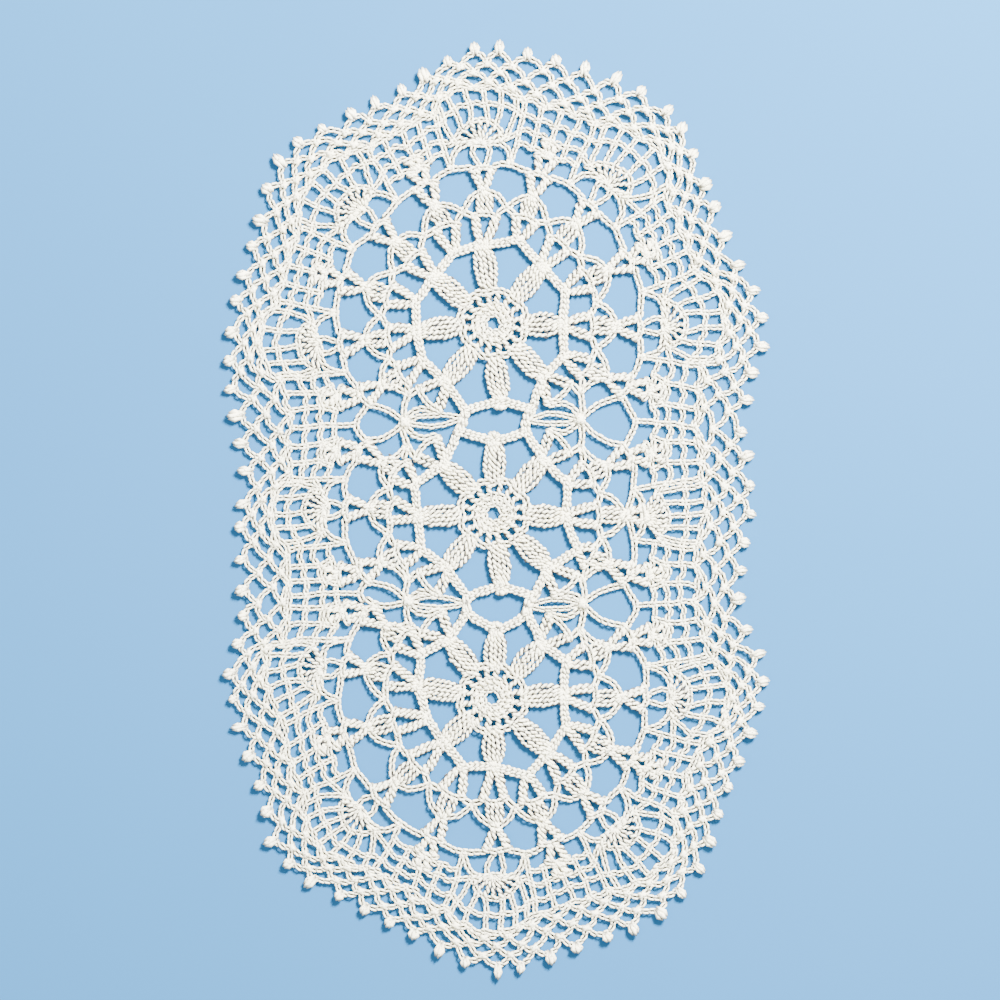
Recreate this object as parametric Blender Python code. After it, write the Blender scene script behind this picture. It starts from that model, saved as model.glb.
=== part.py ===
"""Crocheted lace doily, one flat sheet: three wheels, shells and clusters, twelve fans, a net and picots.

Places on the cloth are complex numbers in millimetres: the real part runs across the cloth and the
imaginary part along it. The lace is charted as strands with half widths; the cells between the strands
are its gaps, and the cell round them all is its outline. The finished sheet is centred, with its
underside flat at z = 0.
"""
import cmath
import math
from dataclasses import dataclass, field

import bmesh
import bpy

MM = 0.001

# Cloth
NET_THICK = 2.2        # chains of the net, underside to top
PETAL_RISE = 1.2       # how far a petal's middle line stands above the net, and so on
PETAL_SPREAD = 6.0
HUB_RISE = 0.8
SHELL_RISE = 1.0
SHELL_SPREAD = 6.5
FAN_RISE = 0.8
RAY_SPREAD = 2.4
SWELL = 0.1            # soft rise and fall of the top
GAPS_CUT = 298         # the largest cells that are cut through
EYE_WORTH = 9.0        # a wheel's eye counts as so many times its area
FAN_WORTH = 1.9        # and so does a space in a fan
LEAST_GAP = 12.0       # area of the smallest cell that may be cut
LEAST_CORNER = 0.32    # area that a corner of a gap must be worth
CREAM = (0.86, 0.83, 0.73, 1.0)

# Half widths of the strands
CHAIN = 1.15
POST = 0.9
BAND = 1.95
LINK = 1.7
HUB = 6.0

# Wheels
HUB_RING = 8.4
PETAL_REACHES = (8.4, 15.5, 20.5, 25.0)
PETAL_HALVES = (3.4, 4.0, 4.3, 3.6, 2.2)
PETAL_TO_BAND = 1.7
CREST_START = 16.5
SHELL_SHARE = 0.55     # the inner shell's top, on the way from the band to the cluster's top
SHELL_AHEAD = 1.0      # how far that top stands ahead of its share
SHELL_REACH = 43.4     # no inner shell reaches farther, and no crossing farther than the next
CROSS_RISE = 2.7
CROSS_REACH = 45.8
CREST_REACH = 42.4
OUTER_SHELL = 9.0
CLUSTER_WAIST = 5.5
HALF_SHELL = 10.3
HALF_SHELL_ANGLE = 46.0
CROSS_LEAN = 0.64      # how far a junction's crossing leans to its half shell

# Fans, rows outwards from the loop that they are worked in
FAN_DEPTH = 45.0
LOOP_HEIGHT = 9.6
LOW_LOOP_HEIGHT = 6.4
RAY_ROW = 9.6
SMALL_ROW = 16.2
LARGE_ROW = 23.2
WIDEST_RAY = 80.0
FAN_SPACES = 4         # spaces in each row, between the outermost rays

# Net
SPINE_SHARES = (0.28, 0.48, 0.69, 0.92)
NET_SHARE = 0.66
FAN_TURN = 0.08        # how far a fan pushes its neighbour's side away
NET_LOOPS = 84
SNAP = 1.5             # how near to a joint the net's chains start from the joint itself
PICOT_HEIGHT = 3.5
PICOT_HALF = 1.8
PICOT_NECK = 1.0

WHEELS = {"top": -0.2 + 72.8j, "middle": 0.2 - 2.8j, "bottom": -0.6 - 76.8j}

# wheel, petal's angle, petal's reach, reach of the band's corner after it
PETALS = (
    ("top", -1, 26.4, 31.5), ("top", 48, 28.5, 34.8), ("top", 97, 30.2, 32.6), ("top", 142, 28.7, 32.0),
    ("top", 185, 29.2, 31.8), ("top", 231, 28.5, 35.9), ("top", 275, 29.0, 37.0), ("top", 314, 27.2, 30.9),
    ("middle", -3, 27.0, 31.8), ("middle", 47, 27.5, 34.9), ("middle", 90, 27.4, 35.3),
    ("middle", 136, 26.4, 33.1), ("middle", 183, 28.3, 32.5), ("middle", 229, 27.6, 35.1),
    ("middle", 276, 27.2, 36.6), ("middle", 315, 29.4, 36.4),
    ("bottom", 3, 26.8, 32.9), ("bottom", 47, 27.7, 35.9), ("bottom", 86, 25.0, 35.3),
    ("bottom", 126, 27.4, 33.0), ("bottom", 171, 28.6, 26.9), ("bottom", 222, 24.6, 29.3),
    ("bottom", 272, 25.8, 33.3), ("bottom", 316, 29.6, 31.5),
)

# wheel, angle, kind, reach of the outer shell's top, cloth's edge beyond it: across, along
STATIONS = (
    ("middle", -1.0, "low fan", 52.8, 100.4, -3.2), ("middle", 23.0, "column", 58.4, 98.0, 22.4),
    ("top", -25.5, "column", 59.2, 97.2, 40.4), ("top", -1.2, "fan", 58.8, 104.4, 76.0),
    ("top", 25.2, "column", 59.6, 87.4, 114.4), ("top", 50.0, "fan", 60.8, 68.2, 156.8),
    ("top", 72.5, "column", 62.0, 31.7, 173.8), ("top", 94.0, "fan", 62.6, -7.9, 181.4),
    ("top", 116.0, "column", 62.0, -42.5, 161.2), ("top", 140.4, "fan", 60.4, -81.2, 140.8),
    ("top", 164.0, "column", 62.0, -95.4, 100.4), ("top", 187.4, "fan", 60.8, -103.8, 60.4),
    ("top", 209.3, "column", 60.0, -101.0, 41.0), ("middle", 155.0, "column", 58.4, -98.4, 20.4),
    ("middle", 178.0, "fan", 58.8, -99.2, -3.6), ("middle", 204.0, "column", 58.4, -98.4, -27.6),
    ("bottom", 145.8, "column", 60.8, -99.2, -44.8), ("bottom", 167.0, "fan", 60.8, -103.2, -73.6),
    ("bottom", 193.6, "column", 60.2, -92.6, -108.6), ("bottom", 221.0, "fan", 60.8, -78.8, -142.4),
    ("bottom", 246.5, "column", 60.8, -37.2, -166.2), ("bottom", 271.5, "fan", 60.6, -1.4, -183.4),
    ("bottom", 292.3, "column", 62.0, 36.0, -173.4), ("bottom", 314.0, "fan", 62.0, 74.0, -153.6),
    ("bottom", 336.6, "column", 61.2, 90.2, -115.0), ("bottom", 360.4, "fan", 60.8, 106.4, -73.6),
    ("bottom", 384.0, "column", 60.0, 98.4, -46.4), ("middle", 335.4, "column", 59.0, 97.2, -27.6),
)

# upper wheel, side, knot: across, along, tie between the two bands: across, along
KNOTS = (
    ("top", 1, 34.6, 34.4, 13.0, 34.8), ("top", -1, -35.4, 33.2, -11.4, 35.6),
    ("middle", 1, 35.4, -39.6, 13.4, -40.0), ("middle", -1, -34.6, -38.0, -11.0, -39.2),
)


@dataclass
class Station:
    """One of the places round the wheels from which a fan or a column of shells grows outwards."""
    wheel: str
    angle: float
    kind: str
    shell: complex
    cluster: complex
    top: complex
    edge: complex
    left: complex = 0j
    right: complex = 0j
    joint: complex = 0j
    turn: float = 0.0
    last_turn: float = 0.0
    spine: list = field(default_factory=list)
    rays: list = field(default_factory=list)

    @property
    def heading(self):
        return unit(self.edge - self.top)


def polar(angle, reach):
    return cmath.rect(reach, math.radians(angle))


def unit(vector):
    return vector / abs(vector)


def mix(first, second, share):
    return first + (second - first) * share


def bowed(start, end, swell, count=1):
    """Points between two places, on a bow whose height is swell of its length, left of the way."""
    shares = [step / (count + 1) for step in range(1, count + 1)]
    return [mix(start, end, share) + (end - start) * 4j * swell * share * (1 - share) for share in shares]


def closed_curve(points, turn):
    """Place on the smooth closed curve through the points, at one turn for each point."""
    start = math.floor(turn)
    part = turn - start
    before, first, second, after = (points[(start + step) % len(points)] for step in (-1, 0, 1, 2))
    bend = 2 * before - 5 * first + 4 * second - after
    twist = 3 * first - before - 3 * second + after
    return 0.5 * (2 * first + (second - before) * part + bend * part ** 2 + twist * part ** 3)


def nearest(points, place):
    return min(points, key=lambda point: abs(point - place))


def lay(strands, points, halves=CHAIN):
    """Add one strand, with one half width or one for each point."""
    if not isinstance(halves, tuple):
        halves = (halves,) * len(points)
    strands.append((tuple(points), halves))


def wheel_band(name):
    """Angles and places of the band's eight petal points and eight corners, in turn."""
    rows = [row[1:] for row in PETALS if row[0] == name]
    band = []
    for (angle, reach, corner), (after, _, _) in zip(rows, rows[1:] + rows[:1]):
        middle = angle + ((after - angle) % 360) / 2
        band.append((angle, WHEELS[name] + polar(angle, reach + PETAL_TO_BAND)))
        band.append((middle, WHEELS[name] + polar(middle, corner)))
    return band


def add_wheel(strands, name):
    """Hub, eight petals and the band round them."""
    centre = WHEELS[name]
    band = wheel_band(name)
    places = [place for _, place in band]
    lay(strands, places + places[:1], BAND)
    ring = [centre + polar(angle, HUB_RING) for angle, _ in band]
    lay(strands, ring + ring[:1], HUB)
    for angle, tip in band[::2]:
        lay(strands, [centre + polar(angle, reach) for reach in PETAL_REACHES] + [tip], PETAL_HALVES)


def band_place(name, angle):
    """The band's place that lies nearest to an angle."""
    return min(wheel_band(name), key=lambda row: abs((row[0] - angle + 180) % 360 - 180))[1]


def add_station(strands, row):
    """Inner shell, cluster and outer shell, one over the other."""
    wheel, angle, kind, reach, across, along = row
    centre = WHEELS[wheel]
    low = kind == "low fan"
    cluster_reach = reach if low else reach - OUTER_SHELL
    foot = band_place(wheel, angle)
    shell_reach = min(mix(abs(foot - centre), cluster_reach, SHELL_SHARE) + SHELL_AHEAD, SHELL_REACH)
    station = Station(wheel, angle, kind, centre + polar(angle, shell_reach),
                      centre + polar(angle, cluster_reach), centre + polar(angle, reach),
                      complex(across, along))
    lay(strands, [foot, station.shell], (1.6, 4.9))
    waist = centre + polar(angle, cluster_reach - CLUSTER_WAIST)
    lay(strands, [station.shell, waist, station.cluster], (3.6, 3.9, 1.5))
    station.left = station.right = station.top
    if not low:
        lay(strands, [station.cluster, station.top], (1.5, 4.4))
        station.left = station.top + polar(angle, 1) * (0.3 + 4.2j)
        station.right = station.top + polar(angle, 1) * (0.3 - 4.2j)
        lay(strands, [station.right, station.top, station.left])
    return station


def add_arches(strands, station, cross, swell):
    """Chain from a shell's top to the crossing beside it, and from there up over the cluster."""
    lay(strands, [station.shell, cross])
    lay(strands, [cross] + bowed(cross, station.cluster, swell) + [station.cluster])


def add_knot(strands, station, knot, tie, sign, side):
    """Half of a junction between two wheels: half shell, crossing, chains to the knot and the tie."""
    centre = WHEELS[station.wheel]
    corner = nearest([place for _, place in wheel_band(station.wheel)], tie)
    lay(strands, [corner, tie], LINK)
    angle = sign * HALF_SHELL_ANGLE if side > 0 else 180 - sign * HALF_SHELL_ANGLE
    foot = band_place(station.wheel, angle)
    half_shell = foot + unit((knot - foot) / 2 + polar(angle, 3)) * HALF_SHELL
    lay(strands, [foot, half_shell], (1.6, 5.6))
    turn = (angle - station.angle + 180) % 360 - 180
    cross = centre + polar(station.angle + CROSS_LEAN * turn, CROSS_REACH)
    add_arches(strands, station, cross, 0.16 * side * sign)
    for place in (cross, half_shell):
        lay(strands, [place, knot])
    lay(strands, [half_shell, cross])
    shell_corner = nearest((station.left, station.right), knot)
    lay(strands, [knot] + bowed(knot, shell_corner, -0.1 * side * sign) + [shell_corner])
    lay(strands, [tie] + bowed(tie, knot, -0.07 * side * sign) + [knot])


def add_junction(strands, first, second):
    """Where two wheels meet: a knot and a tie, with chains to the stations on either side."""
    upper, lower = (first, second) if first.shell.imag > second.shell.imag else (second, first)
    side = 1 if first.shell.real > 0 else -1
    row = next(row for row in KNOTS if row[:2] == (upper.wheel, side))
    knot, tie = complex(row[2], row[3]), complex(row[4], row[5])
    for station, sign in ((upper, -1), (lower, 1)):
        add_knot(strands, station, knot, tie, sign, side)


def join_stations(strands, stations):
    """Arches between neighbours, and the closed chain that runs over all the outer shells."""
    for station, after in zip(stations, stations[1:] + stations[:1]):
        same = station.wheel == after.wheel
        if same:
            halfway = station.angle + ((after.angle - station.angle) % 360) / 2
            centre = WHEELS[station.wheel]
            reach = (abs(station.shell - centre) + abs(after.shell - centre)) / 2 + CROSS_RISE
            reach = min(reach, CROSS_REACH)
            cross = centre + polar(halfway, reach)
            add_arches(strands, station, cross, -0.16)
            add_arches(strands, after, cross, 0.16)
        else:
            add_junction(strands, station, after)
        outward = unit(station.heading + after.heading)
        station.joint = mix(station.left, after.right, 0.5) + outward * (1.6 if same else 4.0)
        lay(strands, [station.left, station.joint, after.right])


def add_spines(strands, stations):
    """The chain that parts each station from the next, from the joint out to the net."""
    inner = [mix(station.top, station.edge, NET_SHARE) for station in stations]
    for number, (station, after) in enumerate(zip(stations, stations[1:] + stations[:1])):
        push = (station.kind != "column") - (after.kind != "column")
        station.turn = number + 0.5 + FAN_TURN * push
        end = closed_curve(inner, station.turn)
        station.spine = [mix(station.joint, end, share) for share in SPINE_SHARES]
        lay(strands, [station.joint] + station.spine)
    for station, before in zip(stations, stations[-1:] + stations[:-1]):
        station.last_turn = before.turn - (len(stations) if before is stations[-1] else 0)


def fan_row(station, before, base, level, reach, fill, bend):
    """Shares of the side and places of one of a fan's rows, from its right side to its left."""
    ends = [(spine[level] - base) / station.heading for spine in (before.spine, station.spine)]
    row = []
    for step in range(FAN_SPACES + 1):
        share = fill * (2 * step / FAN_SPACES - 1)
        end = ends[0] if share < 0 else ends[1]
        far = mix(reach, abs(end), bend * share ** 2)
        turned = min(abs(cmath.phase(end) * share), math.radians(WIDEST_RAY))
        row.append((share, base + station.heading * cmath.rect(far, math.copysign(turned, share))))
    return row


def add_fan(strands, number, station, before):
    """Loops, solid rays and two rows of spaces; returns the turns and places of its outer row."""
    size = abs(station.edge - station.top) / FAN_DEPTH
    low = station.kind == "low fan"
    base = station.top + station.heading * (LOW_LOOP_HEIGHT if low else LOOP_HEIGHT * size)
    if low:
        lay(strands, [station.top, base], (1.5, 4.0))
    else:
        lay(strands, [station.right] + bowed(station.right, base, -0.1) + [base])
        lay(strands, [station.left] + bowed(station.left, base, 0.1) + [base])
    swell = 0.12 if low else 0.2
    lay(strands, [before.joint] + bowed(before.joint, base, -swell, 2) + [base])
    lay(strands, [station.joint] + bowed(station.joint, base, swell, 2) + [base])
    tips = fan_row(station, before, base, 1, RAY_ROW * size, 1.08, 0.0)
    small = fan_row(station, before, base, 2, SMALL_ROW * size, 0.87, 0.8)
    large = fan_row(station, before, base, 3, LARGE_ROW * size, 0.82, 1.0)
    for (_, tip), (_, near), (_, far) in zip(tips, small, large):
        lay(strands, [base, tip, near, far], POST)
        station.rays.append((base, tip))
    for level, row in ((1, tips), (2, small)):
        lay(strands, [before.spine[level]] + [place for _, place in row] + [station.spine[level]])
    outer = []
    for share, place in large:
        span = station.turn - number if share > 0 else number - station.last_turn
        outer.append((number + share * span, place))
    return outer


def add_column(strands, station, before):
    """Stacked shells and rows of chain; returns the turns and places of its outer row."""
    heading = station.heading
    end = mix(station.top, station.edge, NET_SHARE)
    axis = [mix(station.top, end, share) for share in SPINE_SHARES]
    rows = []
    for level in (0, 1, 3):
        right, left = before.spine[level], station.spine[level]
        rows.append([right, mix(right, axis[level], 0.5) + heading * 0.5, axis[level],
                     mix(axis[level], left, 0.5) + heading * 0.5, left])
    lay(strands, [station.top, axis[0]], (1.5, 4.4))
    lay(strands, [axis[0], axis[1]], (1.5, 3.4))
    for row in rows[:2]:
        lay(strands, row)
    for place in (1, 3):
        lay(strands, [rows[0][place], rows[1][place]], POST)
    lay(strands, [rows[1][2], rows[2][2]], POST)
    turns = [mix(station.last_turn, station.turn, step / 4) for step in (1, 2, 3)]
    return list(zip(turns, rows[2][1:4]))


def turns_by_length(edge, count):
    """Turns of evenly spaced places along the cloth's edge, beginning at turn nought."""
    fine = 40 * len(edge)
    turns = [step * len(edge) / fine for step in range(fine + 1)]
    places = [closed_curve(edge, turn) for turn in turns]
    run = [0.0]
    for first, second in zip(places, places[1:]):
        run.append(run[-1] + abs(second - first))
    result = []
    step = 0
    for number in range(count):
        length = run[-1] * number / count
        while run[step + 1] < length:
            step += 1
        result.append(mix(turns[step], turns[step + 1], (length - run[step]) / (run[step + 1] - run[step])))
    return result


def place_on_row(row, turn, whole):
    """Place at a turn on a closed row, given as turns and places in order."""
    turn = (turn - row[0][0]) % whole + row[0][0]
    closed = row + [(row[0][0] + whole, row[0][1])]
    for (start, first), (end, second) in zip(closed, closed[1:]):
        if turn <= end:
            return mix(first, second, (turn - start) / (end - start))
    return row[0][1]


def add_net(strands, row, stations):
    """Net beyond the fans and columns, at twice its pitch, and the last round, which carries picots."""
    edge = [station.edge for station in stations]
    turns = turns_by_length(edge, 2 * NET_LOOPS)

    def net_place(step, share):
        turn = turns[step % len(turns)]
        return mix(place_on_row(row, turn, len(stations)), closed_curve(edge, turn), share)

    feet = []
    for step in range(0, len(turns), 4):
        foot = net_place(step, 0.0)
        close = nearest([place for _, place in row], foot)
        feet.append(close if abs(close - foot) < SNAP else foot)
    taken = [place for _, place in row]
    whole = row + [(turns[4 * number], foot) for number, foot in enumerate(feet) if foot not in taken]
    whole.sort(key=lambda turn_place: turn_place[0] % len(stations))
    places = [place for _, place in whole]
    lay(strands, places + places[:1])
    middle = [net_place(4 * number + 2, 0.5) for number in range(len(feet))]
    valleys = [net_place(2 * number, 0.8) for number in range(NET_LOOPS)]
    tips = [net_place(2 * number + 1, 1.0) for number in range(NET_LOOPS)]
    last_round = [place for pair in zip(valleys, tips) for place in pair]
    lay(strands, last_round + last_round[:1])
    for number, place in enumerate(middle):
        lay(strands, [feet[number], place, feet[(number + 1) % len(feet)]])
        lay(strands, [valleys[2 * number], place, valleys[(2 * number + 2) % NET_LOOPS]])
    return [(tip, unit(tip - net_place(2 * number + 1, 0.0))) for number, tip in enumerate(tips)]


def chart_lace():
    """All the strands of the lace, and the feet and directions of its picots."""
    strands = []
    for name in WHEELS:
        add_wheel(strands, name)
    stations = [add_station(strands, row) for row in STATIONS]
    join_stations(strands, stations)
    add_spines(strands, stations)
    row = []
    for number, (station, before) in enumerate(zip(stations, stations[-1:] + stations[:-1])):
        if station.kind == "column":
            row += add_column(strands, station, before)
        else:
            row += add_fan(strands, number, station, before)
        row.append((station.turn, station.spine[3]))
    picots = add_net(strands, row, stations)
    return strands, picots, stations


def cells_between(strands):
    """Cells of the chart, each a list of its sides: start, end, half widths at the start and the end."""
    places = {}
    sides = {}
    for points, halves in strands:
        marks = [(round(point.real, 4), round(point.imag, 4)) for point in points]
        places.update(zip(marks, points))
        for first, second, start, end in zip(marks, marks[1:], halves, halves[1:]):
            if first != second:
                sides[first, second] = (start, end)
                sides[second, first] = (end, start)
    stars = {}
    for first, second in sides:
        stars.setdefault(first, []).append(second)
    for first, others in stars.items():
        others.sort(key=lambda second: cmath.phase(places[second] - places[first]))
    cells = []
    walked = set()
    for side in sides:
        cell = []
        while side not in walked:
            walked.add(side)
            first, second = side
            cell.append((places[first], places[second], *sides[side]))
            around = stars[second]
            side = (second, around[around.index(first) - 1])
        if cell:
            cells.append(cell)
    return cells


def area_of(points):
    following = points[1:] + points[:1]
    return sum((first.conjugate() * second).imag for first, second in zip(points, following)) / 2


def crossing(first, second):
    """Where two lines meet, or between their ends if they run nearly alike."""
    way, other = first[1] - first[0], second[1] - second[0]
    lean = (way.conjugate() * other).imag
    if abs(lean) < 0.12 * abs(way) * abs(other):
        return (first[1] + second[0]) / 2
    return first[0] + way * ((second[0] - first[0]).conjugate() * other).imag / lean


def clear_of_strands(cell):
    """Outline of a cell, moved off the strands' middle lines by their half widths."""
    lines = []
    for start, end, half_start, half_end in cell:
        across = unit(end - start) * 1j
        lines.append((start + across * half_start, end + across * half_end))
    while len(lines) > 2:
        corners = [crossing(before, line) for before, line in zip(lines[-1:] + lines[:-1], lines)]
        runs = [((after - corner) * (line[1] - line[0]).conjugate()).real / abs(line[1] - line[0])
                for corner, after, line in zip(corners, corners[1:] + corners[:1], lines)]
        if min(runs) > 0.05:
            return corners
        lines.pop(runs.index(min(runs)))
    return []


def plain_outline(points, least):
    """The outline without the corners that change its area by less than the least."""
    points = list(points)
    while len(points) > 4:
        worths = [abs(area_of([before, point, after])) for before, point, after
                  in zip(points[-1:] + points[:-1], points, points[1:] + points[:1])]
        if min(worths) > least:
            break
        points.pop(worths.index(min(worths)))
    return points


def with_picots(outline, picots):
    """The outline with a small round knob at the top of each loop of the last round."""
    for foot, outward in picots:
        top = foot + outward * CHAIN
        near = nearest(outline, top)
        number = outline.index(near)
        sideways = outward * 1j
        knob = [near - sideways * PICOT_NECK, near + outward * PICOT_HEIGHT * 0.6 - sideways * PICOT_HALF,
                near + outward * PICOT_HEIGHT, near + outward * PICOT_HEIGHT * 0.6 + sideways * PICOT_HALF,
                near + sideways * PICOT_NECK]
        forward = (outline[(number + 1) % len(outline)] - outline[number - 1]) * sideways.conjugate()
        outline[number:number + 1] = knob if forward.real > 0 else knob[::-1]
    return outline


def worth(gap, stations):
    """Area of a gap, counted up for the wheels' eyes and for the spaces of the fans."""
    middle = sum(gap) / len(gap)
    if min(abs(middle - centre) for centre in WHEELS.values()) < HUB_RING:
        return area_of(gap) * EYE_WORTH
    for station in stations:
        base = station.top + station.heading * LOOP_HEIGHT
        if station.kind != "column" and RAY_ROW < abs(middle - base) < LARGE_ROW - 1:
            if ((middle - base) / station.heading).real > 0:
                return area_of(gap) * FAN_WORTH
    return area_of(gap)


def outline_and_gaps():
    """The cloth's outline, its gaps and its stations."""
    strands, picots, stations = chart_lace()
    outline = []
    gaps = []
    for cell in cells_between(strands):
        shape = clear_of_strands(cell)
        if area_of([side[0] for side in cell]) < 0:
            outline = with_picots(shape, picots)
        elif shape and area_of(shape) > LEAST_GAP:
            gaps.append(plain_outline(shape, LEAST_CORNER))
    gaps.sort(key=lambda gap: worth(gap, stations), reverse=True)
    return outline, gaps[:GAPS_CUT], stations


def off_line(place, start, end):
    """How far a place lies from the line between two others."""
    spot = (place - start) / unit(end - start)
    along = min(max(spot.real, 0.0), abs(end - start))
    return abs(spot - along)


def top_height(place, stations):
    """Height of the cloth's top: petals, shells and clusters stand up, and the net lies low."""
    rise = 0.0
    for name, centre in WHEELS.items():
        if abs(place - centre) < CREST_REACH:
            for _, tip in wheel_band(name)[::2]:
                start = mix(centre, tip, CREST_START / abs(tip - centre))
                rise = max(rise, PETAL_RISE * (1 - off_line(place, start, tip) / PETAL_SPREAD))
        if abs(place - centre) < HUB_RING:
            rise = max(rise, HUB_RISE)
    for station in stations:
        if abs(place - station.cluster) < OUTER_SHELL:
            rise = max(rise, SHELL_RISE * (1 - off_line(place, station.shell, station.top) / SHELL_SPREAD))
        for ray in station.rays:
            rise = max(rise, FAN_RISE * (1 - off_line(place, *ray) / RAY_SPREAD))
    return NET_THICK + rise + SWELL * math.sin(place.real / 17) * math.cos(place.imag / 23)


def flat_sheet(name, outline, gaps):
    """Sheet of even thickness with the gaps cut through, as a mesh in millimetres."""
    curve = bpy.data.curves.new(name + " outline", "CURVE")
    curve.dimensions = "2D"
    curve.fill_mode = "BOTH"
    curve.extrude = NET_THICK / 2
    for points in [outline] + gaps:
        spline = curve.splines.new("POLY")
        spline.points.add(len(points) - 1)
        spline.use_cyclic_u = True
        for target, point in zip(spline.points, points):
            target.co = (point.real, point.imag, 0.0, 1.0)
    flat = bpy.data.objects.new(name + " outline", curve)
    bpy.context.scene.collection.objects.link(flat)
    bpy.context.view_layer.update()
    mesh = bpy.data.meshes.new_from_object(flat.evaluated_get(bpy.context.evaluated_depsgraph_get()))
    mesh.name = name
    bpy.data.objects.remove(flat)
    return mesh


def crease(work, start, end, half):
    """Cut the top along a line, in the faces beside it, so that the line can stand up or lie low."""
    along = unit(end - start)

    def beside(face):
        place = face.calc_center_median()
        spot = (complex(place.x, place.y) - start) / along
        return face.normal.z > 0.5 and 0 < spot.real < abs(end - start) and abs(spot.imag) < half

    faces = [face for face in work.faces if beside(face)]
    geometry = faces + list({edge for face in faces for edge in face.edges})
    geometry += list({vert for face in faces for vert in face.verts})
    bmesh.ops.bisect_plane(work, geom=geometry, dist=0.05, plane_no=(-along.imag, along.real, 0.0),
                           plane_co=(start.real, start.imag, NET_THICK / 2))


def crease_stitches(work, stations):
    """Creases along the petals' middle lines, the fans' rays and the valleys between the rays."""
    for name, centre in WHEELS.items():
        for _, tip in wheel_band(name)[::2]:
            start = mix(centre, tip, CREST_START / abs(tip - centre))
            crease(work, start, mix(tip, centre, PETAL_TO_BAND / abs(tip - centre)), PETAL_HALVES[2])
    for station in stations:
        for base, _ in station.rays[:1]:
            sideways = station.heading * 1j * RAY_ROW
            crease(work, base - sideways, base + sideways, RAY_ROW)
        for base, tip in station.rays:
            crease(work, base, tip, RAY_ROW / 2)
        for (base, tip), (_, after) in zip(station.rays, station.rays[1:]):
            crease(work, base, (tip + after) / 2, RAY_SPREAD)


def raise_relief(mesh, stations):
    """Weld the sheet's rims, part its faces evenly, lift the stitches, and centre it, in metres."""
    work = bmesh.new()
    work.from_mesh(mesh)
    bmesh.ops.remove_doubles(work, verts=work.verts, dist=0.01)
    bmesh.ops.recalc_face_normals(work, faces=work.faces)
    flat = {face for face in work.faces if abs(face.normal.z) > 0.5}
    inner = [edge for edge in work.edges if flat.issuperset(edge.link_faces)]
    bmesh.ops.beautify_fill(work, faces=list(flat), edges=inner, method="AREA")
    crease_stitches(work, stations)
    for vert in work.verts:
        high = vert.co.z > 0
        vert.co.z = top_height(complex(vert.co.x, vert.co.y), stations) if high else 0.0
    bmesh.ops.triangulate(work, faces=work.faces)
    across = [vert.co.x for vert in work.verts]
    along = [vert.co.y for vert in work.verts]
    middle = (min(across) + max(across)) / 2, (min(along) + max(along)) / 2
    bmesh.ops.translate(work, vec=(-middle[0], -middle[1], 0.0), verts=work.verts)
    bmesh.ops.scale(work, vec=(MM, MM, MM), verts=work.verts)
    work.to_mesh(mesh)
    work.free()


def cotton():
    material = bpy.data.materials.new("Cream cotton")
    material.use_nodes = True
    shader = material.node_tree.nodes["Principled BSDF"]
    shader.inputs["Base Color"].default_value = CREAM
    shader.inputs["Roughness"].default_value = 0.85
    shader.inputs["Metallic"].default_value = 0.0
    return material


def main():
    for item in list(bpy.data.objects):
        bpy.data.objects.remove(item)
    collection = bpy.data.collections.new("Lace doily")
    bpy.context.scene.collection.children.link(collection)
    outline, gaps, stations = outline_and_gaps()
    mesh = flat_sheet("doily", outline, gaps)
    raise_relief(mesh, stations)
    mesh.materials.append(cotton())
    collection.objects.link(bpy.data.objects.new("doily", mesh))


main()
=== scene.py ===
"""Crocheted lace doily of cream cotton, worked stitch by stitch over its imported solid.

Places on the cloth are complex numbers in millimetres: the real part runs across the cloth and the
imaginary part along it. Strands carry them, with a stitch, a half width and a height, and Geometry
Nodes lay the stitches one after another along each strand.
"""

import cmath
import logging
import math
from dataclasses import dataclass, field
from enum import Enum

import bmesh
import bpy
import numpy as np
from bpy.types import Material, Mesh, NodeTree, Object
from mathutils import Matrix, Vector, noise

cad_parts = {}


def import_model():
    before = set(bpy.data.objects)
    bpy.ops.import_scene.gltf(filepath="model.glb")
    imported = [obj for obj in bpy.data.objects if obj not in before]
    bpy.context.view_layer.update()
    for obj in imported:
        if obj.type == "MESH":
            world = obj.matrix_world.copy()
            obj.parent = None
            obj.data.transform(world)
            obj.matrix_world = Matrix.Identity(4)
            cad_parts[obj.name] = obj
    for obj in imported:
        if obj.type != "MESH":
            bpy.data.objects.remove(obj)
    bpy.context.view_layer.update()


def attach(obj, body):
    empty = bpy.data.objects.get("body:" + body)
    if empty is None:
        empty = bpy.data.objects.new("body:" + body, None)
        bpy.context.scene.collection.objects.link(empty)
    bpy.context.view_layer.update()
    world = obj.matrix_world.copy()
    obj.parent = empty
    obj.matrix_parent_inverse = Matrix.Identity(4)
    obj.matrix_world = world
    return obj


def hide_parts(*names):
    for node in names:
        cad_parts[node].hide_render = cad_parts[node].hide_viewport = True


log = logging.getLogger("doily")

MM = 0.001
SINGLE_PITCH = 30.0     # longer than any joint or picot, so that each gets one stitch
Places = list[complex]
Numbers = tuple[float, ...]
Table = tuple[Numbers, ...]

# Half widths of the strands
CHAIN = 1.3
THIN = 1.15
NET = 1.14
POST = 1.2

# Heights of the strands' middle lines over the floor
LOW = 1.0
MIDDLE = 1.25
HIGH = 1.6

# Wheels
PETAL_TO_BAND = 1.7
SHELL_SHARE = 0.55
SHELL_REACH = 42.8
CROSS_RISE = 1.3
CROSS_REACH = 44.6
EVEN_REACH = 60.6
OUTER_SHELL = 9.0
HALF_SHELL = 10.3
HALF_SHELL_ANGLE = 46.0
CROSS_LEAN = 0.64
END_CROSS_REACH = 44.2

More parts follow.
